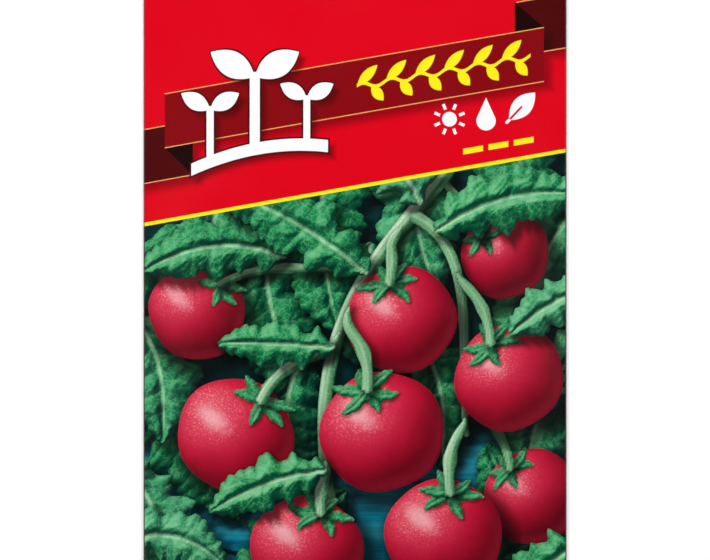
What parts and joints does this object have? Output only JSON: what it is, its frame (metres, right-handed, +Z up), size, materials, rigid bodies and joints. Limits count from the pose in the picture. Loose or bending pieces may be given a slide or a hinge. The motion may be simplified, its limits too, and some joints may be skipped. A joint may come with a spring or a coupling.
{
  "type": "seed packet",
  "caption": "Closed flat paper packet of vegetable seeds with a printed front, lying on its back, glued down the back and under folded end flaps.",
  "frame": {"origin": "on the surface that the packet lies on, under the middle of its outline", "axes": "+X to the right across the printed front, +Y towards the packet's top edge, +Z up out of the printed front"},
  "size_m": [0.11, 0.165, 0.0063],
  "materials": {
    "printed_paper": "smooth coated paper with a glossy print, uncoated white inside and on its cut edges",
    "seed_coat": "dull finely pitted seed coat, tan to reddish brown"
  },
  "bodies": {
    "root": {"paper_packet": "printed_paper", "loose_seeds": "seed_coat"}
  },
  "joints": []
}
